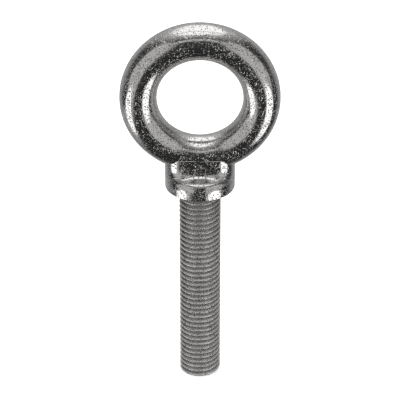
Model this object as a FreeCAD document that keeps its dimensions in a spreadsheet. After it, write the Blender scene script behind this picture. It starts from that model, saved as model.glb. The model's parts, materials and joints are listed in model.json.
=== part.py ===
import FreeCAD, Part
import math
import os
import Sketcher

# Shoulder-pattern machinery eye bolt, modelled in millimetres.
# Frame: the origin is the centre of the shoulder's seat, +Z points up through the eye, and the eye's
# opening runs along Y, so the ring stands in the XZ plane and the shank hangs below the seat.

doc = FreeCAD.newDocument("EyeBolt")
sheet = doc.addObject("Spreadsheet::Sheet", "Sizes")

DRIVING_SIZES = [
    # alias, millimetres (or degrees and plain counts), what it is
    ("ringRadius", 27.5, "centre line of the round bar bent into the eye"),
    ("barRadius", 8.35, "round section of the eye"),
    ("eyeHeight", 43.9, "centre of the eye above the seat"),
    ("landDepth", 0.06, "how deep the trimmed land cuts into the inside of the eye"),
    ("landCutter", 6.0, "length of the cutter that trims that land"),
    ("collarRadius", 15.9, "shoulder collar"),
    ("bandHeight", 5.45, "straight wall of the collar above the seat"),
    ("edgeRadius", 2.34, "rounded upper edge of the collar"),
    ("seatChamfer", 0.25, "broken edge round the seat"),
    ("neckClearance", 0.06, "how far the neck's flats stand proud of the eye's bar"),
    ("neckInset", 0.05, "how far the neck's ends stay inside the collar's wall"),
    ("neckFillet", 1.4, "hollow between the neck's wall and the collar's ledge"),
    ("stemRadius", 10.0, "solid stem that carries the shank up through the collar"),
    ("shankRadius", 9.525, "major radius of the 3/4 inch thread"),
    ("shankLength", 100.0, "seat to tip"),
    ("pitch", 2.54, "ten threads per inch"),
    ("tipChamfer", 0.3, "broken edge at the tip"),
    ("plainLength", 2.0, "plain run-out between the seat and the last full groove"),
    ("cutterOverrun", 0.2, "how far the thread cutter's section reaches past the crest"),
    ("wallSectors", 12, "sectors that the shank's faces are laid out in, an even number"),
]

# values that follow from the ones above
DERIVED_SIZES = [
    ("boreRadius", "=ringRadius - barRadius + landDepth"),
    ("tubeBottom", "=eyeHeight - ringRadius"),
    ("ledgeHeight", "=bandHeight + edgeRadius"),
    ("neckHalfDepth", "=barRadius + neckClearance"),
    ("neckHalfWidth", "=collarRadius - neckInset"),
    ("flareHeight", "=stemRadius - shankRadius"),
    ("blankTop", "=-flareHeight"),
    ("grooveDepth", "=pitch * 0.6134"),
    ("rootRadius", "=shankRadius - grooveDepth"),
    ("mouthRadius", "=shankRadius + cutterOverrun"),
    ("grooveStart", "=shankLength + pitch"),
    ("crestHalf", "=pitch * 7 / 16"),
    ("mouthHalf", "=crestHalf + cutterOverrun * tan(30 deg)"),
    ("rootHalf", "=crestHalf - grooveDepth * tan(30 deg)"),
]


def fillSheet():
    """Writes each size in a row of its own: name, value and what it is."""
    row = 1
    for alias, value, meaning in DRIVING_SIZES:
        sheet.set("A%d" % row, alias)
        sheet.set("B%d" % row, str(value))
        sheet.set("C%d" % row, meaning)
        sheet.setAlias("B%d" % row, alias)
        row += 1
    for alias, formula in DERIVED_SIZES:
        sheet.set("A%d" % row, alias)
        sheet.set("B%d" % row, formula)
        sheet.setAlias("B%d" % row, alias)
        row += 1
    doc.recompute()


def size(alias):
    return float(sheet.get(alias))


def originPlane(body, role):
    for feature in body.Origin.OriginFeatures:
        if feature.Role == role:
            return feature
    raise ValueError("no origin plane " + role)


def newSketch(body, name, role):
    """A sketch lying on one of the body's own origin planes."""
    sketch = body.newObject("Sketcher::SketchObject", name)
    sketch.AttachmentSupport = [(originPlane(body, role), "")]
    sketch.MapMode = "FlatFace"
    return sketch


def bindConstraint(sketch, constraint, name, formula):
    """Adds a driving constraint and ties its value to the sheet."""
    index = sketch.addConstraint(constraint)
    sketch.renameConstraint(index, name)
    sketch.setExpression(".Constraints." + name, formula)


def vector(x, y):
    return FreeCAD.Vector(x, y, 0)


def buildEyeRing():
    """The eye: a round bar bent into a full ring, with the land left by trimming its inside."""
    bar = doc.addObject("Part::Torus", "RingBar")
    bar.setExpression("Radius1", "Sizes.ringRadius")
    bar.setExpression("Radius2", "Sizes.barRadius")
    bar.Placement = FreeCAD.Placement(vector(0, 0), FreeCAD.Rotation(FreeCAD.Vector(1, 0, 0), 90))
    bar.setExpression("Placement.Base.z", "Sizes.eyeHeight")

    trimmer = doc.addObject("Part::Cylinder", "InsideTrimmer")
    trimmer.setExpression("Radius", "Sizes.boreRadius")
    trimmer.setExpression("Height", "Sizes.landCutter")
    trimmer.Placement = FreeCAD.Placement(vector(0, 0), FreeCAD.Rotation(FreeCAD.Vector(1, 0, 0), 90))
    trimmer.setExpression("Placement.Base.y", "Sizes.landCutter / 2")
    trimmer.setExpression("Placement.Base.z", "Sizes.eyeHeight")

    ring = doc.addObject("Part::Cut", "EyeRing")
    ring.Base = bar
    ring.Tool = trimmer
    ring.Label = "eye_ring"
    return ring


def stadiumSketch(body, name):
    """Plan of the neck: two flats joined by half-round ends."""
    sketch = newSketch(body, name, "XY_Plane")
    halfDepth = size("neckHalfDepth")
    centre = size("neckHalfWidth") - halfDepth
    front = sketch.addGeometry(Part.LineSegment(vector(centre, -halfDepth), vector(-centre, -halfDepth)))
    leftCircle = Part.Circle(vector(-centre, 0), FreeCAD.Vector(0, 0, 1), halfDepth)
    left = sketch.addGeometry(Part.ArcOfCircle(leftCircle, math.radians(90), math.radians(270)))
    back = sketch.addGeometry(Part.LineSegment(vector(-centre, halfDepth), vector(centre, halfDepth)))
    rightCircle = Part.Circle(vector(centre, 0), FreeCAD.Vector(0, 0, 1), halfDepth)
    right = sketch.addGeometry(Part.ArcOfCircle(rightCircle, math.radians(-90), math.radians(90)))
    # point 1 is a curve's start, 2 its end and 3 its centre; -1 is the sketch's own origin and X axis
    sketch.addConstraint(Sketcher.Constraint("Tangent", front, 2, left, 2))
    sketch.addConstraint(Sketcher.Constraint("Tangent", left, 1, back, 1))
    sketch.addConstraint(Sketcher.Constraint("Tangent", back, 2, right, 2))
    sketch.addConstraint(Sketcher.Constraint("Tangent", right, 1, front, 1))
    sketch.addConstraint(Sketcher.Constraint("Horizontal", front))
    sketch.addConstraint(Sketcher.Constraint("Symmetric", left, 3, right, 3, -1, 1))
    bindConstraint(sketch, Sketcher.Constraint("Radius", right, halfDepth), "endRadius", "Sizes.neckHalfDepth")
    between = Sketcher.Constraint("DistanceX", -1, 1, right, 3, centre)
    bindConstraint(sketch, between, "endCentre", "Sizes.neckHalfWidth - Sizes.neckHalfDepth")
    return sketch


def rimSketch(body, name):
    """Half section of the rounded rim above the collar's band: flat foot, round edge, flat ledge."""
    sketch = newSketch(body, name, "XZ_Plane")
    radius = size("collarRadius")
    edge = size("edgeRadius")
    foot = size("bandHeight")
    ledge = size("ledgeHeight")
    bottom = sketch.addGeometry(Part.LineSegment(vector(0, foot), vector(radius, foot)))
    roundCircle = Part.Circle(vector(radius - edge, foot), FreeCAD.Vector(0, 0, 1), edge)
    roundEdge = sketch.addGeometry(Part.ArcOfCircle(roundCircle, 0, math.radians(90)))
    top = sketch.addGeometry(Part.LineSegment(vector(radius - edge, ledge), vector(0, ledge)))
    axis = sketch.addGeometry(Part.LineSegment(vector(0, ledge), vector(0, foot)))
    sketch.addConstraint(Sketcher.Constraint("Coincident", bottom, 2, roundEdge, 1))
    sketch.addConstraint(Sketcher.Constraint("Tangent", roundEdge, 2, top, 1))
    sketch.addConstraint(Sketcher.Constraint("Coincident", top, 2, axis, 1))
    sketch.addConstraint(Sketcher.Constraint("Coincident", axis, 2, bottom, 1))
    sketch.addConstraint(Sketcher.Constraint("Horizontal", bottom))
    sketch.addConstraint(Sketcher.Constraint("Horizontal", top))
    sketch.addConstraint(Sketcher.Constraint("PointOnObject", axis, 1, -2))
    sketch.addConstraint(Sketcher.Constraint("PointOnObject", axis, 2, -2))
    sketch.addConstraint(Sketcher.Constraint("PointOnObject", roundEdge, 3, bottom))
    bindConstraint(sketch, Sketcher.Constraint("Radius", roundEdge, edge), "edgeRadius", "Sizes.edgeRadius")
    reach = Sketcher.Constraint("DistanceX", bottom, 1, bottom, 2, radius)
    bindConstraint(sketch, reach, "rimRadius", "Sizes.collarRadius")
    lift = Sketcher.Constraint("DistanceY", -1, 1, axis, 2, foot)
    bindConstraint(sketch, lift, "footHeight", "Sizes.bandHeight")
    return sketch


def neckRootEdges(shape):
    """Names of the edges where the neck's wall stands on the collar's ledge, the rim's own circle left out."""
    ledge = size("ledgeHeight")
    rimStart = size("collarRadius") - size("edgeRadius")
    names = []
    for number, edge in enumerate(shape.Edges, 1):
        box = edge.BoundBox
        middle = edge.valueAt((edge.FirstParameter + edge.LastParameter) / 2)
        onLedge = abs(box.ZMin - ledge) < 1e-4 and abs(box.ZMax - ledge) < 1e-4
        onRim = abs(math.hypot(middle.x, middle.y) - rimStart) < 0.01
        if onLedge and not onRim:
            names.append("Edge%d" % number)
    return names


def buildNeck():
    """The neck: the collar's rounded rim with a flat-sided boss on it, hollowed on top to seat the ring."""
    body = doc.addObject("PartDesign::Body", "Neck")
    body.Label = "neck"
    rim = body.newObject("PartDesign::Revolution", "Rim")
    rim.Profile = rimSketch(body, "RimSection")
    rim.ReferenceAxis = (rim.Profile[0], ["V_Axis"])
    rim.Angle = 360
    doc.recompute()

    boss = body.newObject("PartDesign::Pad", "Boss")
    boss.Profile = stadiumSketch(body, "NeckPlan")
    boss.Profile[0].setExpression("AttachmentOffset.Base.z", "Sizes.bandHeight")
    boss.setExpression("Length", "Sizes.tubeBottom - Sizes.bandHeight")
    boss.Refine = False
    doc.recompute()

    root = body.newObject("PartDesign::Fillet", "NeckRoot")
    root.Base = (boss, neckRootEdges(boss.Shape))
    root.setExpression("Radius", "Sizes.neckFillet")
    root.Refine = False
    doc.recompute()

    saddle = body.newObject("PartDesign::SubtractiveTorus", "RingSaddle")
    saddle.setExpression("Radius1", "Sizes.ringRadius")
    saddle.setExpression("Radius2", "Sizes.barRadius")
    saddle.Placement = FreeCAD.Placement(vector(0, 0), FreeCAD.Rotation(FreeCAD.Vector(1, 0, 0), 90))
    saddle.setExpression("Placement.Base.z", "Sizes.eyeHeight")
    doc.recompute()
    body.Tip = saddle
    return body


def circleSketch(body, name, radii):
    """Concentric circles about the shank's axis, each radius tied to the sheet."""
    sketch = newSketch(body, name, "XY_Plane")
    for alias in radii:
        circle = Part.Circle(vector(0, 0), FreeCAD.Vector(0, 0, 1), size(alias))
        index = sketch.addGeometry(circle)
        sketch.addConstraint(Sketcher.Constraint("Coincident", index, 3, -1, 1))
        bindConstraint(sketch, Sketcher.Constraint("Radius", index, size(alias)), alias, "Sizes." + alias)
    return sketch


def buildCollar():
    """The shoulder collar: the flat-seated band, with the shank's stem passing through it."""
    body = doc.addObject("PartDesign::Body", "ShoulderCollar")
    body.Label = "shoulder_collar"
    band = body.newObject("PartDesign::Pad", "Band")
    band.Profile = circleSketch(body, "BandPlan", ["collarRadius", "stemRadius"])
    band.setExpression("Length", "Sizes.bandHeight")
    doc.recompute()

    seatEdge = None
    for number, edge in enumerate(band.Shape.Edges, 1):
        box = edge.BoundBox
        flatOnSeat = abs(box.ZMax) < 1e-6 and abs(box.ZMin) < 1e-6
        if flatOnSeat and abs(box.XMax - size("collarRadius")) < 1e-3:
            seatEdge = "Edge%d" % number
    broken = body.newObject("PartDesign::Chamfer", "SeatEdge")
    broken.Base = (band, [seatEdge])
    broken.setExpression("Size", "Sizes.seatChamfer")
    doc.recompute()
    body.Tip = broken
    return body


def sectorSketch(body, name):
    """One slice of the shank's blank, so that its wall is laid out in equal faces."""
    sketch = newSketch(body, name, "XY_Plane")
    radius = size("shankRadius")
    half = math.pi / size("wallSectors")
    start = vector(radius * math.cos(half), -radius * math.sin(half))
    end = vector(radius * math.cos(half), radius * math.sin(half))
    lower = sketch.addGeometry(Part.LineSegment(vector(0, 0), start))
    circle = Part.Circle(vector(0, 0), FreeCAD.Vector(0, 0, 1), radius)
    wall = sketch.addGeometry(Part.ArcOfCircle(circle, -half, half))
    upper = sketch.addGeometry(Part.LineSegment(end, vector(0, 0)))
    sketch.addConstraint(Sketcher.Constraint("Coincident", lower, 1, -1, 1))
    sketch.addConstraint(Sketcher.Constraint("Coincident", lower, 2, wall, 1))
    sketch.addConstraint(Sketcher.Constraint("Coincident", wall, 2, upper, 1))
    sketch.addConstraint(Sketcher.Constraint("Coincident", upper, 2, -1, 1))
    sketch.addConstraint(Sketcher.Constraint("Coincident", wall, 3, -1, 1))
    sketch.addConstraint(Sketcher.Constraint("Symmetric", wall, 1, wall, 2, -1))
    bindConstraint(sketch, Sketcher.Constraint("Radius", wall, radius), "wallRadius", "Sizes.shankRadius")
    spread = Sketcher.Constraint("Angle", lower, 1, upper, 2, 2 * half)
    bindConstraint(sketch, spread, "spread", "360 deg / Sizes.wallSectors")
    return sketch


def grooveSketch(body, name):
    """Section of the thread's groove: 60 degree flanks, flat root, mouth just outside the crest."""
    sketch = newSketch(body, name, "XZ_Plane")
    # each corner is a place across the section and a place along the axis, half of it below the middle
    corners = [("rootRadius", -1, "rootHalf"), ("mouthRadius", -1, "mouthHalf"),
               ("mouthRadius", 1, "mouthHalf"), ("rootRadius", 1, "rootHalf")]
    middle = -size("grooveStart")
    points = [vector(size(reach), middle + side * size(half)) for reach, side, half in corners]
    for index, point in enumerate(points):
        sketch.addGeometry(Part.LineSegment(point, points[(index + 1) % 4]))
    for index in range(4):
        sketch.addConstraint(Sketcher.Constraint("Coincident", index, 2, (index + 1) % 4, 1))
    for index, (reach, side, half) in enumerate(corners):
        across = Sketcher.Constraint("DistanceX", -1, 1, index, 1, size(reach))
        bindConstraint(sketch, across, "across%d" % index, "Sizes." + reach)
        along = Sketcher.Constraint("DistanceY", index, 1, -1, 1, -points[index].y)
        formula = "Sizes.grooveStart %s Sizes.%s" % ("-" if side > 0 else "+", half)
        bindConstraint(sketch, along, "along%d" % index, formula)
    return sketch


def stemSketch(body, name):
    """Half section of the stem through the collar, with the short cone that meets the shank below the seat."""
    sketch = newSketch(body, name, "XZ_Plane")
    corners = [(0, size("blankTop")), (size("shankRadius"), size("blankTop")), (size("stemRadius"), 0),
               (size("stemRadius"), size("bandHeight")), (0, size("bandHeight"))]
    points = [vector(across, up) for across, up in corners]
    for index, point in enumerate(points):
        sketch.addGeometry(Part.LineSegment(point, points[(index + 1) % 5]))
    for index in range(5):
        sketch.addConstraint(Sketcher.Constraint("Coincident", index, 2, (index + 1) % 5, 1))
    sketch.addConstraint(Sketcher.Constraint("Horizontal", 0))
    sketch.addConstraint(Sketcher.Constraint("Vertical", 2))
    sketch.addConstraint(Sketcher.Constraint("Horizontal", 3))
    sketch.addConstraint(Sketcher.Constraint("Vertical", 4))
    sketch.addConstraint(Sketcher.Constraint("PointOnObject", 0, 1, -2))
    sketch.addConstraint(Sketcher.Constraint("PointOnObject", 2, 1, -1))
    below = Sketcher.Constraint("DistanceY", 0, 1, -1, 1, size("flareHeight"))
    bindConstraint(sketch, below, "flareHeight", "Sizes.flareHeight")
    foot = Sketcher.Constraint("DistanceX", 0, 1, 0, 2, size("shankRadius"))
    bindConstraint(sketch, foot, "footRadius", "Sizes.shankRadius")
    across = Sketcher.Constraint("DistanceX", 3, 2, 3, 1, size("stemRadius"))
    bindConstraint(sketch, across, "stemRadius", "Sizes.stemRadius")
    top = Sketcher.Constraint("DistanceY", -1, 1, 3, 2, size("bandHeight"))
    bindConstraint(sketch, top, "stemTop", "Sizes.bandHeight")
    return sketch


def sectorPlanes():
    """Upright planes through the shank's axis, along the lines between the sectors of its wall."""
    reach = 1.2 * size("stemRadius")
    low = -1.1 * size("shankLength")
    high = 2 * size("bandHeight")
    sectors = int(size("wallSectors"))
    planes = []
    for index in range(sectors // 2):
        angle = math.pi * (2 * index + 1) / sectors
        across = FreeCAD.Vector(reach * math.cos(angle), reach * math.sin(angle), 0)
        bottom = FreeCAD.Vector(0, 0, low)
        top = FreeCAD.Vector(0, 0, high)
        corners = [bottom - across, bottom + across, top + across, top - across]
        planes.append(Part.Face(Part.makePolygon(corners + corners[:1])))
    return planes


def layOutInSectors(solid):
    """The same solid with every face, the groove's too, ending at the lines between the sectors."""
    split, _ = solid.generalFuse(sectorPlanes())
    found = {}
    for piece in split.Solids:
        for face in piece.Faces:
            found.setdefault(face.hashCode(), []).append(face)
    # a face between two sectors belongs to both pieces, so the outer skin is what belongs to one alone
    skin = Part.Shell([faces[0] for faces in found.values() if len(faces) == 1])
    whole = Part.Solid(skin)
    if not skin.isClosed() or abs(whole.Volume - solid.Volume) > 1e-6 * solid.Volume:
        raise RuntimeError("the shank changed when it was laid out in sectors")
    return whole


def buildShank():
    """The threaded shank: stem through the collar, plain run-out, then the helical thread to the tip."""
    body = doc.addObject("PartDesign::Body", "ShankForm")
    slicePad = body.newObject("PartDesign::Pad", "BlankSlice")
    slicePad.Profile = sectorSketch(body, "SlicePlan")
    slicePad.Profile[0].setExpression("AttachmentOffset.Base.z", "-Sizes.shankLength")
    slicePad.setExpression("Length", "Sizes.shankLength + Sizes.blankTop")
    slicePad.Refine = False
    doc.recompute()

    blank = body.newObject("PartDesign::PolarPattern", "Blank")
    blank.Originals = [slicePad]
    blank.Axis = (slicePad.Profile[0], ["N_Axis"])
    blank.Angle = 360
    blank.Occurrences = int(size("wallSectors"))
    blank.Refine = False
    body.Tip = blank
    doc.recompute()

    tipEdges = []
    for number, edge in enumerate(blank.Shape.Edges, 1):
        box = edge.BoundBox
        onTip = abs(box.ZMax + size("shankLength")) < 1e-6
        if onTip and edge.Curve.TypeId == "Part::GeomCircle":
            tipEdges.append("Edge%d" % number)
    broken = body.newObject("PartDesign::Chamfer", "TipEdge")
    broken.Base = (blank, tipEdges)
    broken.setExpression("Size", "Sizes.tipChamfer")
    broken.Refine = False
    doc.recompute()

    thread = body.newObject("PartDesign::SubtractiveHelix", "Thread")
    thread.Profile = grooveSketch(body, "GrooveSection")
    thread.ReferenceAxis = (thread.Profile[0], ["V_Axis"])
    thread.Mode = "pitch-height-angle"
    thread.setExpression("Pitch", "Sizes.pitch")
    thread.setExpression("Height", "Sizes.shankLength - Sizes.plainLength")
    thread.Refine = False
    doc.recompute()

    stem = body.newObject("PartDesign::Revolution", "Stem")
    stem.Profile = stemSketch(body, "StemSection")
    stem.ReferenceAxis = (stem.Profile[0], ["V_Axis"])
    stem.Angle = 360
    stem.Refine = False
    body.Tip = stem
    doc.recompute()

    shank = doc.addObject("Part::Feature", "ThreadedShank")
    shank.Label = "threaded_shank"
    shank.Shape = layOutInSectors(body.Shape.Solids[0])
    return shank


def checkDocument(subParts):
    """Stops with a plain message if any feature failed or any sub-part isn't one sound solid."""
    for item in doc.Objects:
        if "Invalid" in item.State or "Error" in item.State:
            raise RuntimeError("%s failed: %s" % (item.Name, item.State))
    for item in subParts:
        shape = item.Shape
        if shape.isNull() or not shape.isValid() or len(shape.Solids) != 1:
            raise RuntimeError("%s isn't one valid solid" % item.Label)


fillSheet()
subParts = [buildEyeRing(), buildNeck(), buildCollar(), buildShank()]
doc.recompute()
checkDocument(subParts)

os.makedirs("parts", exist_ok=True)
for item in subParts:
    item.Shape.exportStep("parts/%s.step" % item.Label)
    box = item.Shape.optimalBoundingBox()
    print("%s: %.1f mm3, z %.2f to %.2f" % (item.Label, item.Shape.Volume, box.ZMin, box.ZMax))
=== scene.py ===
import json
import math

import bmesh
import bpy
import numpy as np
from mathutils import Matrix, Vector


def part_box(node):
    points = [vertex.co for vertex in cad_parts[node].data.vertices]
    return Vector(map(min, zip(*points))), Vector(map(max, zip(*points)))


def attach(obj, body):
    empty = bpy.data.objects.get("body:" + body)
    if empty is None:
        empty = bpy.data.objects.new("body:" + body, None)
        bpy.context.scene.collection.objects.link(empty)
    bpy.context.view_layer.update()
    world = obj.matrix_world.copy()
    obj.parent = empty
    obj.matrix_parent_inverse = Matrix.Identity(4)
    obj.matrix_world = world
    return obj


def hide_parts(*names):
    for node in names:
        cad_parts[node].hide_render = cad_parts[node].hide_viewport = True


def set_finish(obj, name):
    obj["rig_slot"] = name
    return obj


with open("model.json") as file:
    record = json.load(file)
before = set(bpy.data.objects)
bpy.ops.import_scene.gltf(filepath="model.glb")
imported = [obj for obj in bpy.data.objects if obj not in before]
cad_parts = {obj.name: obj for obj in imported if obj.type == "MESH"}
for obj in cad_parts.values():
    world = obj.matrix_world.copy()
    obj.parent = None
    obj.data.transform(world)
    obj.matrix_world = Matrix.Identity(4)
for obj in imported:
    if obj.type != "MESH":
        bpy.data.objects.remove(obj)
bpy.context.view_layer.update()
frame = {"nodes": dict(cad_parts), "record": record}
print("frame loaded:", ", ".join(sorted(frame["nodes"])))

mm = 0.001
twoPi = 2 * math.pi

# the main sizes come off the frame
ringLow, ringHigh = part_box("eye_ring")
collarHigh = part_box("shoulder_collar")[1]
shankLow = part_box("threaded_shank")[0]
barRadius = (ringHigh.y - ringLow.y) / 2
ringRadius = (ringHigh.x - ringLow.x) / 2 - barRadius
eyeHeight = (ringHigh.z + ringLow.z) / 2
collarRadius = collarHigh.x
pins = {mount["name"]: mount["dims"] for mount in frame["record"]["mounts"]}
shankRadius = pins["threaded_shank"]["r_mm"] * mm
shankLength = -shankLow.z


# closed mesh from a grid of points: rows along u, columns round v, with a flat cap on an open end
def makePiece(name, grid, closeU=False, capFirst=False, capLast=False, sharpAngle=45):
    rows, cols = grid.shape[:2]
    index = np.arange(rows * cols).reshape(rows, cols)
    if closeU:
        index = np.vstack([index, index[:1]])
    index = np.hstack([index, index[:, :1]])
    quads = np.stack([index[:-1, :-1], index[:-1, 1:], index[1:, 1:], index[1:, :-1]], -1)
    faces = quads.reshape(-1, 4).tolist()
    if capFirst:
        faces.append(list(range(cols))[::-1])
    if capLast:
        faces.append(list(range((rows - 1) * cols, rows * cols)))
    mesh = bpy.data.meshes.new(name)
    mesh.from_pydata(grid.reshape(-1, 3).tolist(), [], faces)
    work = bmesh.new()
    work.from_mesh(mesh)
    bmesh.ops.remove_doubles(work, verts=work.verts, dist=2e-6)
    bmesh.ops.dissolve_degenerate(work, edges=work.edges, dist=1e-6)
    bmesh.ops.recalc_face_normals(work, faces=work.faces)
    work.to_mesh(mesh)
    work.free()
    mesh.shade_smooth()
    mesh.set_sharp_from_angle(angle=math.radians(sharpAngle))
    piece = bpy.data.objects.new(name, mesh)
    bpy.context.scene.collection.objects.link(piece)
    return piece


# the eye: how uneven the hand-dressed bar is
eyeLook = {
    "stepsRound": 360,
    "stepsSection": 96,
    "unevenness": 0.035 * mm,
    "waves": 9,
    "seed": 7,
}


# torus: a circle of the bar's radius is carried round the ring's circle, and its radius wanders by a sum
# of slow random waves in the two angles
def ringGrid(look):
    around = np.linspace(0, twoPi, look["stepsRound"], endpoint=False)[:, None]
    section = np.linspace(0, twoPi, look["stepsSection"], endpoint=False)[None, :]
    rng = np.random.default_rng(look["seed"])
    wander = np.zeros((look["stepsRound"], look["stepsSection"]))
    for _ in range(look["waves"]):
        turns = rng.integers(2, 9)
        rolls = rng.integers(0, 4)
        phase = rng.uniform(0, twoPi)
        wander += np.sin(turns * around + rolls * section + phase) / look["waves"]
    radius = barRadius + look["unevenness"] * (wander - np.abs(wander).max())
    reach = ringRadius + radius * np.cos(section)
    x = reach * np.cos(around)
    y = radius * np.sin(section)
    z = eyeHeight + reach * np.sin(around)
    return np.stack([x, y, z], -1)


# the neck and collar, forged in one with the eye
shoulderLook = {
    "ledge": 7.79 * mm,
    "ledgeSlope": 3,
    "rimRound": 2.42 * mm,
    "draftRound": 7.2 * mm,
    "draftAngle": 26,
    "rootRound": 0.45 * mm,
    "facet": 0.95 * mm,
    "facetTilt": 54,
    "facetFrom": 2.5 * mm,
    "facetFull": 5 * mm,
    "rootGrowth": 0.3 * mm,
    "flare": 1.4 * mm,
    "flareStart": 1.5 * mm,
    "flareEnd": 8.5 * mm,
    "flareCurve": 7,
    "neckProud": 0.01 * mm,
    "neckLip": 0.2 * mm,
    "lipStart": 1.6 * mm,
    "lipEnd": 3.2 * mm,
    "lipRound": 0.2 * mm,
    "seatRound": 0.25 * mm,
    "topInset": 2.5 * mm,
    "seatInset": 0.5 * mm,
    "stepsRound": 384,
    "stepsArc": 14,
    "stepsWall": 16,
}


# 0 below low and 1 above high, with an S-shaped cubic between them
def smoothStep(low, high, value):
    share = np.clip((value - low) / (high - low), 0, 1)
    return share * share * (3 - 2 * share)


# the neck's outline is two flats and two half rounds; from each of its points a ray runs straight out to
# the collar's circle, and along it hangs a profile of wall, hollow with a facet in it, ledge, round rim and
# band; a round turned by a tilt goes its radius times 1 less the cosine across, and times the sine down
def shoulderGrid(look):
    top = eyeHeight - ringRadius
    halfDepth = barRadius + look["neckProud"]
    centre = collarRadius - halfDepth
    flat = 2 * centre
    halfRound = math.pi * halfDepth
    run = np.linspace(0, 2 * (flat + halfRound), look["stepsRound"], endpoint=False)
    half = run % (flat + halfRound)
    side = np.where(run < flat + halfRound, 1.0, -1.0)
    onFlat = half < flat
    turn = np.where(onFlat, 0, (half - flat) / halfDepth)
    # on side 1 the flat runs along -Y from -X to +X, then the round end turns from -Y to +Y
    x = np.where(onFlat, half - centre, centre + halfDepth * np.sin(turn)) * side
    y = np.where(onFlat, -halfDepth, -halfDepth * np.cos(turn)) * side
    outX = np.where(onFlat, 0, np.sin(turn)) * side
    outY = np.where(onFlat, -1, -np.cos(turn)) * side
    lip = look["neckLip"] * smoothStep(look["lipStart"], look["lipEnd"], np.abs(x)) * np.abs(outY) ** 4
    x = x + outX * lip
    y = y + outY * lip
    along = x * outX + y * outY
    gap = -along + np.sqrt(along ** 2 + collarRadius ** 2 - x ** 2 - y ** 2)

    # a tilt of 0 is an upright wall and a quarter turn a flat ledge; the rim is two arcs, tight then wide
    quarter = math.pi / 2
    turnOver = math.radians(look["draftAngle"])

    def rimIn(tilt):
        wide = look["draftRound"] * (1 - np.cos(np.minimum(tilt, turnOver)))
        return wide + look["rimRound"] * (math.cos(turnOver) - np.cos(np.maximum(tilt, turnOver)))

    def rimRise(tilt):
        wide = look["draftRound"] * np.sin(np.minimum(tilt, turnOver))
        return wide + look["rimRound"] * (np.sin(np.maximum(tilt, turnOver)) - math.sin(turnOver))

    # where the gap is too narrow for a flat ledge, hollow and rim meet at a smaller tilt
    root = look["rootRound"] + look["rootGrowth"] * np.clip(np.abs(x) / centre, 0, 1) ** 2
    widest = look["rootRound"] + look["rootGrowth"]
    # the neck's foot flares out towards its sides, and a flat facet breaks the hollow below it
    foot = look["flare"] * smoothStep(look["flareStart"], look["flareEnd"], np.abs(x)) * np.abs(outY) ** 3
    facet = look["facet"] * smoothStep(look["facetFrom"], look["facetFull"], gap - foot)
    facetTilt = math.radians(look["facetTilt"])
    facetReach = facet * math.sin(facetTilt)
    facetRise = facet * math.cos(facetTilt)
    allTilts = np.linspace(0, quarter - math.radians(look["ledgeSlope"]), 200)
    room = gap - foot - facetReach
    steepest = np.interp(room, widest * (1 - np.cos(allTilts)) + rimIn(allTilts), allTilts)
    band = look["ledge"] - rimRise(quarter)
    ledge = band + rimRise(steepest)
    rootReach = foot + facetReach + root * (1 - np.cos(steepest))
    drop = (gap - rimIn(steepest) - rootReach) / np.tan(np.maximum(steepest, 0.01))
    rootTop = ledge + drop + facetRise + root * np.sin(steepest)

    rows = []

    def addRow(reach, height):
        reach = reach + np.zeros_like(x)
        rows.append(np.stack([x + outX * reach, y + outY * reach, height + np.zeros_like(x)], -1))

    lipRound = look["lipRound"]
    addRow(-look["topInset"], top)
    for tilt in np.linspace(quarter, 0, 5)[:-1]:
        addRow(-lipRound * (1 - math.cos(tilt)), top - lipRound * (1 - math.sin(tilt)))
    for share in np.linspace(0, 1, look["stepsWall"]):
        addRow(foot * share ** look["flareCurve"], (top - lipRound) * (1 - share) + rootTop * share)
    for share in np.linspace(0, 1, look["stepsArc"])[1:]:
        tilt = steepest * share
        past = tilt > facetTilt
        reach = foot + root * (1 - np.cos(tilt)) + np.where(past, facetReach, 0)
        addRow(reach, rootTop - root * np.sin(tilt) - np.where(past, facetRise, 0))
    for share in (0.33, 0.67):
        addRow(rootReach * (1 - share) + (gap - rimIn(steepest)) * share, ledge + drop * (1 - share))
    for share in np.linspace(1, 0, 2 * look["stepsArc"]):
        tilt = steepest * share
        addRow(gap - rimIn(tilt), band + rimRise(tilt))
    for share in np.linspace(0, 1, look["stepsWall"])[1:]:
        addRow(gap, band * (1 - share) + look["seatRound"] * share)

    grid = np.stack(rows)
    wall = grid[-1].copy()
    away = wall[:, :2] / np.linalg.norm(wall[:, :2], axis=1)[:, None]
    extra = []
    for angle in np.linspace(0, quarter, look["stepsArc"])[1:]:
        ring = away * (collarRadius - look["seatRound"] * (1 - math.cos(angle)))
        height = look["seatRound"] * (1 - math.sin(angle))
        extra.append(np.column_stack([ring, np.full(len(ring), height)]))
    inner = away * (shankRadius - look["seatInset"])
    extra.append(np.column_stack([inner, np.zeros(len(inner))]))
    return np.concatenate([grid, np.stack(extra)])


# the 3/4 inch thread, ten to the inch
threadLook = {
    "pitch": 2.54 * mm,
    "crestFlat": 1 / 8,
    "rootFlat": 1 / 6,
    "veeAngle": 60,
    "softness": 0.035 * mm,
    "runoutStart": 1.6 * mm,
    "runoutEnd": 3.4 * mm,
    "tipChamfer": 0.3 * mm,
    "seatGap": 0.02 * mm,
    "stepsRound": 96,
    "stepsPitch": 14,
}


# clips value to the range, with both corners rounded over the given softness
def softClip(value, low, high, soft):
    lower = 0.5 * (value + low + np.sqrt((value - low) ** 2 + soft ** 2))
    return 0.5 * (lower + high - np.sqrt((lower - high) ** 2 + soft ** 2))


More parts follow.
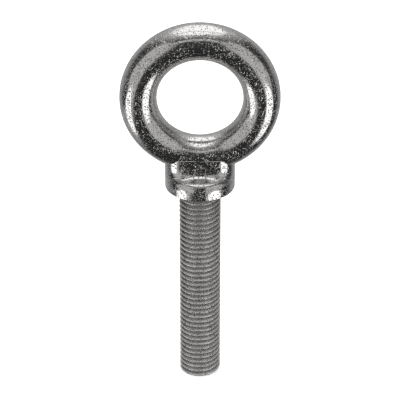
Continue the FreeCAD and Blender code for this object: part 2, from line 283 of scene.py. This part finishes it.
# screw surface: rows follow the helix, so height grows by a pitch for each turn of the angle; the radius is
# a vee of the place within the pitch, flat at crest and root, faded out at the seat and cut by a cone and a
# plane at the tip
def threadGrid(look):
    pitch = look["pitch"]
    theta = np.linspace(0, twoPi, look["stepsRound"], endpoint=False)[None, :]
    turns = int(shankLength / pitch) + 3
    place = np.arange(turns * look["stepsPitch"])[:, None] / look["stepsPitch"]
    helix = -shankLength - pitch + pitch * (place - 1 + theta / twoPi)
    height = np.clip(helix, -shankLength, -look["seatGap"])
    phase = (height + shankLength + pitch) / pitch - theta / twoPi
    fromCrest = np.abs((phase - np.floor(phase)) - 0.5)
    slope = 1 / math.tan(math.radians(look["veeAngle"] / 2))
    deepest = (0.5 - look["rootFlat"] / 2 - look["crestFlat"] / 2) * pitch * slope
    depth = softClip((fromCrest - look["crestFlat"] / 2) * pitch * slope, 0, deepest, look["softness"])
    depth = depth * smoothStep(look["runoutStart"], look["runoutEnd"], -height)
    radius = shankRadius - depth
    radius = np.minimum(radius, shankRadius - look["tipChamfer"] + (height + shankLength))
    return np.stack([radius * np.cos(theta), radius * np.sin(theta), height], -1)


eye = makePiece("eye", ringGrid(eyeLook), closeU=True)
shoulder = makePiece("neck_and_collar", shoulderGrid(shoulderLook), capFirst=True, capLast=True)
thread = makePiece("screw_thread", threadGrid(threadLook), capFirst=True, capLast=True, sharpAngle=40)
print("surfaces made:", [len(p.data.polygons) for p in (eye, shoulder, thread)])

for piece, nodes, slot in (
    (eye, ["eye_ring"], "polished_forging"),
    (shoulder, ["neck", "shoulder_collar"], "polished_forging"),
    (thread, ["threaded_shank"], "cut_thread"),
):
    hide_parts(*nodes)
    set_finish(piece, slot)
    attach(piece, "root")


# one node at a place in the editor, with its properties set and its inputs given by name or number
def addNode(tree, kind, x, y, **settings):
    node = tree.nodes.new(kind)
    node.location = (x, y)
    inputs = settings.pop("inputs", {})
    for key, value in settings.items():
        setattr(node, key, value)
    for key, value in inputs.items():
        if isinstance(value, bpy.types.NodeSocket):
            tree.links.new(value, node.inputs[key])
        else:
            node.inputs[key].default_value = value
    return node


def mathNode(tree, operation, *values, x=0, y=0):
    node = addNode(tree, "ShaderNodeMath", x, y, operation=operation, inputs=dict(enumerate(values)))
    return node.outputs[0]


def vectorNode(tree, operation, *values, x=0, y=0):
    node = addNode(tree, "ShaderNodeVectorMath", x, y, operation=operation, inputs=dict(enumerate(values)))
    return node.outputs["Value"] if operation in ("DOT_PRODUCT", "LENGTH") else node.outputs[0]


# a smooth step from low to high, which may also run downwards
def rampNode(tree, value, low, high, fromLow=0.0, toHigh=1.0, x=0, y=0):
    node = addNode(tree, "ShaderNodeMapRange", x, y, interpolation_type="SMOOTHSTEP", inputs={
        "Value": value, "From Min": low, "From Max": high, "To Min": fromLow, "To Max": toHigh})
    return node.outputs["Result"]


# the length of a flat vector from its two parts
def lengthNode(tree, first, second, x, y):
    squares = [mathNode(tree, "MULTIPLY", part, part, x=x - 200, y=y) for part in (first, second)]
    return mathNode(tree, "SQRT", mathNode(tree, "ADD", *squares, x=x - 100, y=y), x=x, y=y)


def newGroup(name, inputs, outputs):
    group = bpy.data.node_groups.new(name, "ShaderNodeTree")
    for label, default in inputs:
        socket = group.interface.new_socket(label, in_out="INPUT", socket_type="NodeSocketFloat")
        socket.default_value = default
    for label, kind in outputs:
        group.interface.new_socket(label, in_out="OUTPUT", socket_type=kind)
    entry = group.nodes.new("NodeGroupInput")
    entry.location = (-1600, 0)
    leave = group.nodes.new("NodeGroupOutput")
    leave.location = (1200, 0)
    return group, entry, leave


# short straight nicks and specks: space is cut into random cells, and a share of them hold one nick each,
# which lies in the surface through the cell's own point, in the cell's own direction
def buildNicks():
    group, entry, leave = newGroup(
        "nicks",
        [("Cells per Metre", 600), ("Length", 0.6), ("Width", 0.08), ("Share", 0.5), ("Shift", 0)],
        [("Mask", "NodeSocketFloat")],
    )
    place = addNode(group, "ShaderNodeTexCoord", -1600, 300).outputs["Object"]
    normal = addNode(group, "ShaderNodeNewGeometry", -1600, -300).outputs["Normal"]
    scaled = vectorNode(group, "SCALE", place, x=-1400, y=300)
    group.links.new(entry.outputs["Cells per Metre"], scaled.node.inputs["Scale"])
    offset = addNode(group, "ShaderNodeCombineXYZ", -1400, 100, inputs={0: entry.outputs["Shift"], 1: 3.7})
    moved = vectorNode(group, "ADD", scaled, offset.outputs[0], x=-1200, y=300)
    cells = addNode(group, "ShaderNodeTexVoronoi", -1000, 300, inputs={"Vector": moved, "Scale": 1.0})
    local = vectorNode(group, "SUBTRACT", moved, cells.outputs["Position"], x=-800, y=200)
    randomWay = vectorNode(group, "SUBTRACT", cells.outputs["Color"], (0.5, 0.5, 0.5), x=-800, y=0)

    # the part of a vector that lies in the surface
    def flatten(vector, x, y):
        along = vectorNode(group, "DOT_PRODUCT", vector, normal, x=x, y=y - 150)
        push = vectorNode(group, "SCALE", normal, x=x + 150, y=y - 150)
        group.links.new(along, push.node.inputs["Scale"])
        return vectorNode(group, "SUBTRACT", vector, push, x=x + 300, y=y)

    flatLocal = flatten(local, -600, 200)
    way = vectorNode(group, "NORMALIZE", flatten(randomWay, -600, -150), x=-200, y=-150)
    onWay = vectorNode(group, "DOT_PRODUCT", flatLocal, way, x=0, y=200)
    across = vectorNode(group, "CROSS_PRODUCT", flatLocal, way, x=0, y=0)
    across = vectorNode(group, "LENGTH", across, x=150, y=0)
    depth = vectorNode(group, "DOT_PRODUCT", local, normal, x=0, y=-300)
    depth = mathNode(group, "ABSOLUTE", depth, x=150, y=-300)
    chance = addNode(group, "ShaderNodeSeparateColor", -600, -500, inputs={0: cells.outputs["Color"]})
    spread = mathNode(group, "MULTIPLY_ADD", chance.outputs["Green"], 0.7, 0.3, x=-200, y=-500)
    ownLength = mathNode(group, "MULTIPLY", entry.outputs["Length"], spread, x=0, y=-500)
    ends = mathNode(group, "DIVIDE", mathNode(group, "ABSOLUTE", onWay), ownLength, x=200, y=200)
    ends = rampNode(group, ends, 1.0, 0.5, x=350, y=200)
    sides = mathNode(group, "DIVIDE", across, entry.outputs["Width"], x=200, y=50)
    sides = rampNode(group, sides, 1.0, 0.0, x=350, y=0)
    near = rampNode(group, depth, 0.55, 0.35, x=350, y=-300)
    chosen = mathNode(group, "LESS_THAN", chance.outputs["Red"], entry.outputs["Share"], x=350, y=-500)
    mask = mathNode(group, "MULTIPLY", ends, sides, x=600, y=100)
    mask = mathNode(group, "MULTIPLY", mask, near, x=750, y=100)
    mask = mathNode(group, "MULTIPLY", mask, chosen, x=900, y=100)
    group.links.new(mask, leave.inputs["Mask"])
    return group


nicks = buildNicks()

# the marks of use: a mark's length, at most, and its width reach out from its middle, in cells, and the
# shift keeps one kind off another's places
marksLook = {
    "scratches": {"Cells per Metre": 420, "Length": 0.5, "Width": 0.07, "Share": 0.9, "Shift": 1.3},
    "drags": {"Cells per Metre": 170, "Length": 0.5, "Width": 0.028, "Share": 0.6, "Shift": 2.9},
    "specks": {"Cells per Metre": 900, "Length": 0.36, "Width": 0.21, "Share": 0.62, "Shift": 8.1},
    "pits": {"Cells per Metre": 950, "Length": 0.38, "Width": 0.3, "Share": 0.72, "Shift": 5.9},
}


def placeMarks(tree, kind, x, y):
    node = addNode(tree, "ShaderNodeGroup", x, y, node_tree=nicks, inputs=marksLook[kind])
    return node.outputs["Mask"]


def noise(tree, place, scale, x, y):
    return addNode(tree, "ShaderNodeTexNoise", x, y, inputs={
        "Vector": place, "Scale": scale, "Detail": 1, "Roughness": 0.5}).outputs["Fac"]


# what both finishes share: noise scales per metre, how clean the polished patches are, where dirt lies in
# the pits and where painted shade lies in the thread's grooves
finishLook = {
    "slow": 120,
    "fine": 1800,
    "patch": 170,
    "patchStart": 0.40,
    "patchEnd": 0.58,
    "patchLeast": 0.25,
    "pitDirt": 0.95,
    # the painted shade in the thread's grooves begins and is full at these depths below the crests
    "grooveShadeStart": 0.2 * mm,
    "grooveShadeEnd": 1.0 * mm,
    # the painted groove shade is strongest where the surface is seen aslant
    "aslantStart": 0.2,
    "aslantEnd": 0.45,
    "aslantLeast": 0.2,
    "dirtAndGrooveShadeColor": (0.05, 0.048, 0.045),
}
# each finish's own colour and dullness, with the heights of its waves, grain, nicks and pits in mm, and on
# the thread how dark the painted shade in its grooves gets
steelLook = {
    "polished_forging": {"color": (0.62, 0.610, 0.602), "roughness": 0.13, "dullness": 0.10,
                         "wave": 0.08, "grain": 0.006, "nick": 0.10, "pit": 0.07},
    "cut_thread": {"color": (0.64, 0.630, 0.622), "roughness": 0.54, "dullness": 0.14, "grooveShade": 0.97,
                   "wave": 0.05, "grain": 0.008, "nick": 0.10, "pit": 0.09},
}


def steelMaterial(name, look):
    material = bpy.data.materials.new(name)
    material.use_nodes = True
    tree = material.node_tree
    tree.nodes.clear()
    output = addNode(tree, "ShaderNodeOutputMaterial", 1400, 0)
    shader = addNode(tree, "ShaderNodeBsdfPrincipled", 1100, 0, inputs={"Metallic": 1.0})
    place = addNode(tree, "ShaderNodeTexCoord", -800, 0).outputs["Object"]
    slow = noise(tree, place, finishLook["slow"], -500, 400)
    fine = noise(tree, place, finishLook["fine"], -500, 200)
    scratches = placeMarks(tree, "scratches", -500, 0)
    drags = placeMarks(tree, "drags", -500, 100)
    scratches = mathNode(tree, "MAXIMUM", scratches, drags, x=-350, y=50)
    specks = placeMarks(tree, "specks", -500, -250)
    pits = placeMarks(tree, "pits", -500, -500)
    # some patches were polished cleaner than others
    patch = noise(tree, place, finishLook["patch"], -700, -700)
    patch = rampNode(tree, patch, finishLook["patchStart"], finishLook["patchEnd"],
                     finishLook["patchLeast"], x=-500, y=-700)
    scratches = mathNode(tree, "MULTIPLY", scratches, patch, x=-250, y=0)
    specks = mathNode(tree, "MULTIPLY", specks, patch, x=-250, y=-250)
    height = mathNode(tree, "MULTIPLY", slow, look["wave"] * mm, x=-200, y=400)
    height = mathNode(tree, "MULTIPLY_ADD", fine, look["grain"] * mm, height, x=-50, y=300)
    height = mathNode(tree, "MULTIPLY_ADD", scratches, -look["nick"] * mm, height, x=100, y=200)
    height = mathNode(tree, "MULTIPLY_ADD", specks, -look["nick"] * mm, height, x=250, y=100)
    height = mathNode(tree, "MULTIPLY_ADD", pits, -look["pit"] * mm, height, x=400, y=0)
    bump = addNode(tree, "ShaderNodeBump", 700, -200, inputs={
        "Strength": 1.0, "Distance": 1.0, "Height": height})
    leastRough = look["roughness"] - look["dullness"] / 2
    rough = mathNode(tree, "MULTIPLY_ADD", slow, look["dullness"], leastRough, x=300, y=-400)
    dirtAndGrooveShade = mathNode(tree, "MULTIPLY", pits, finishLook["pitDirt"], x=400, y=300)
    if "grooveShade" in look:
        # painted shade: the thread's colour darkens from the crests in towards the roots of its grooves,
        # where shade falls
        axes = addNode(tree, "ShaderNodeSeparateXYZ", -300, 700, inputs={0: place}).outputs
        reach = lengthNode(tree, axes[0], axes[1], x=0, y=700)
        grooveShade = rampNode(tree, reach, shankRadius - finishLook["grooveShadeStart"],
                         shankRadius - finishLook["grooveShadeEnd"], 0.0, look["grooveShade"], x=150, y=700)
        # painted shade: seen aslant, the grooves are painted darker, where they would shade one another
        facing = addNode(tree, "ShaderNodeLayerWeight", 0, 900, inputs={"Blend": 0.5}).outputs["Facing"]
        aslant = rampNode(tree, facing, finishLook["aslantStart"], finishLook["aslantEnd"],
                          finishLook["aslantLeast"], x=150, y=900)
        grooveShade = mathNode(tree, "MULTIPLY", grooveShade, aslant, x=300, y=800)
        # the dark pits are real dirt; the groove darkening joined to them here is painted shade
        dirtAndGrooveShade = mathNode(tree, "MAXIMUM", dirtAndGrooveShade, grooveShade, x=500, y=400)
    # the colour is mixed towards a dark tone by the pits' dirt and, on the thread, by the painted groove
    # shade
    tint = addNode(tree, "ShaderNodeMix", 700, 200, data_type="RGBA", inputs={
        "Factor": dirtAndGrooveShade, 6: (*look["color"], 1), 7: (*finishLook["dirtAndGrooveShadeColor"], 1)})
    tree.links.new(tint.outputs[2], shader.inputs["Base Color"])
    tree.links.new(rough, shader.inputs["Roughness"])
    tree.links.new(bump.outputs["Normal"], shader.inputs["Normal"])
    tree.links.new(shader.outputs[0], output.inputs["Surface"])
    return material


steel = {name: steelMaterial(name, look) for name, look in steelLook.items()}
for piece in (eye, shoulder, thread):
    piece.data.materials.append(steel[piece["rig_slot"]])
print("finishes made:", ", ".join(steel))


# a wide sheet of pale paper at the height of the bolt's tip
paperLook = {"span": 3.0, "color": (0.9, 0.9, 0.9, 1), "roughness": 0.9}
span = paperLook["span"]
corners = [(x * span, y * span, -shankLength) for x, y in ((-1, -1), (1, -1), (1, 1), (-1, 1))]
floorMesh = bpy.data.meshes.new("floor")
floorMesh.from_pydata(corners, [], [(0, 1, 2, 3)])
floor = bpy.data.objects.new("floor", floorMesh)
bpy.context.scene.collection.objects.link(floor)
floor.visible_glossy = False
paper = bpy.data.materials.new("pale_paper")
paper.use_nodes = True
paperInputs = paper.node_tree.nodes["Principled BSDF"].inputs
paperInputs["Base Color"].default_value = paperLook["color"]
paperInputs["Roughness"].default_value = paperLook["roughness"]
floorMesh.materials.append(paper)

# lights on the sky, each an ellipse of directions in degrees: lean is how far a direction points sideways,
# and arch goes from the front (0) over the top (90) to the back (180), or under the object where negative;
# the slit is a darker line across all of them at one arch, and dark is what reflections see between them
studioLook = {
    "boxes": {
        "top": {"lean": -1, "leanHalf": 28.5, "arch": 102, "archHalf": 42, "soft": 0.24, "bright": 1.55},
        "lowLeft": {"lean": -50, "leanHalf": 14, "arch": -54, "archHalf": 34, "soft": 0.18, "bright": 2.0},
        "lowRight": {"lean": 41, "leanHalf": 19, "arch": -43, "archHalf": 27, "soft": 0.18, "bright": 2.0},
    },
    "walls": {
        "left": {"lean": -48.5, "leanHalf": 31, "arch": 6, "archHalf": 54, "soft": 0.17, "bright": 0.60},
        "leftFoot": {"lean": -45, "leanHalf": 15, "arch": -92, "archHalf": 46, "soft": 0.3, "bright": 0.40},
        "right": {"lean": 47.5, "leanHalf": 31, "arch": 8, "archHalf": 52, "soft": 0.15, "bright": 0.60},
        "strip": {"lean": 0, "leanHalf": 26, "arch": 33, "archHalf": 6, "soft": 0.2, "bright": 0.65},
        "glow": {"lean": -1, "leanHalf": 43, "arch": 112, "archHalf": 60, "soft": 0.35, "bright": 0.60},
        "back": {"lean": 0, "leanHalf": 72, "arch": 190, "archHalf": 66, "soft": 0.40, "bright": 0.46},
    },
    "slit": {"arch": 89, "half": 1.5, "soft": 0.6, "least": 0.15},
    "dark": 0.032,
    "floorLight": 1.8,
}


# 1 inside an ellipse of directions and 0 outside, its edge softened by a share of its size
def ellipseNode(tree, lean, arch, spot, x, y):
    away = mathNode(tree, "SUBTRACT", arch, spot["arch"], x=x, y=y)
    away = mathNode(tree, "WRAP", away, -180.0, 180.0, x=x + 100, y=y)
    across = mathNode(tree, "SUBTRACT", lean, spot["lean"], x=x, y=y - 40)
    across = mathNode(tree, "DIVIDE", across, spot["leanHalf"], x=x + 200, y=y - 40)
    along = mathNode(tree, "DIVIDE", away, spot["archHalf"], x=x + 200, y=y)
    length = lengthNode(tree, across, along, x=x + 400, y=y)
    return rampNode(tree, length, 1 + spot["soft"], 1 - spot["soft"], x=x + 600, y=y)


# soft boxes painted on the sky by direction: reflections see them, and the floor sees an even white
def buildStudio(look):
    world = bpy.data.worlds.new("studio")
    bpy.context.scene.world = world
    world.use_nodes = True
    tree = world.node_tree
    tree.nodes.clear()
    way = addNode(tree, "ShaderNodeTexCoord", -1600, 0).outputs["Generated"]
    sideways, ahead, up = addNode(tree, "ShaderNodeSeparateXYZ", -1400, 0, inputs={0: way}).outputs
    front = mathNode(tree, "MULTIPLY", ahead, -1.0, x=-1200, y=-100)
    toDegrees = 180 / math.pi
    lean = mathNode(tree, "ARCSINE", sideways, x=-1000, y=200)
    lean = mathNode(tree, "MULTIPLY", lean, toDegrees, x=-850, y=200)
    arch = mathNode(tree, "ARCTAN2", up, front, x=-1000, y=0)
    arch = mathNode(tree, "MULTIPLY", arch, toDegrees, x=-850, y=0)

    light = look["dark"]
    for row, spot in enumerate([*look["walls"].values(), *look["boxes"].values()]):
        mask = ellipseNode(tree, lean, arch, spot, -700, 600 - row * 200)
        glow = mathNode(tree, "MULTIPLY", mask, spot["bright"], x=50, y=600 - row * 200)
        light = mathNode(tree, "MAXIMUM", light, glow, x=200 + row * 60)
    slit = look["slit"]
    fromSlit = mathNode(tree, "SUBTRACT", arch, slit["arch"], x=-600, y=-1200)
    fromSlit = mathNode(tree, "ABSOLUTE", fromSlit, x=-450, y=-1200)
    pastSlit = rampNode(tree, fromSlit, slit["half"] - slit["soft"], slit["half"] + slit["soft"],
                        slit["least"], x=-300, y=-1200)
    light = mathNode(tree, "MULTIPLY", light, pastSlit, x=750, y=0)

    studio = addNode(tree, "ShaderNodeBackground", 900, 0, inputs={"Color": light, "Strength": 1.0})
    even = addNode(tree, "ShaderNodeBackground", 900, -200, inputs={
        "Color": (1, 1, 1, 1), "Strength": look["floorLight"]})
    ray = addNode(tree, "ShaderNodeLightPath", 900, 300)
    pick = addNode(tree, "ShaderNodeMixShader", 1100, 0, inputs={
        0: ray.outputs["Is Glossy Ray"], 1: even.outputs[0], 2: studio.outputs[0]})
    output = addNode(tree, "ShaderNodeOutputWorld", 1300, 0)
    tree.links.new(pick.outputs[0], output.inputs["Surface"])


buildStudio(studioLook)

cameraLook = {
    "place": (0, -0.7006, 0.3913),
    "pitchDown": 29.69,
    "lens": 158.6,
    "sensor": 36,
    "nearest": 0.01,
}
cameraData = bpy.data.cameras.new("camera")
cameraData.lens = cameraLook["lens"]
cameraData.sensor_width = cameraLook["sensor"]
cameraData.clip_start = cameraLook["nearest"]
camera = bpy.data.objects.new("camera", cameraData)
camera.location = cameraLook["place"]
camera.rotation_euler = (math.radians(90 - cameraLook["pitchDown"]), 0, 0)
bpy.context.scene.collection.objects.link(camera)
bpy.context.scene.camera = camera
bpy.context.scene.view_settings.view_transform = "Standard"
bpy.context.scene.cycles.use_denoising = False  # it would smear the fine scratches
print("studio and camera set")
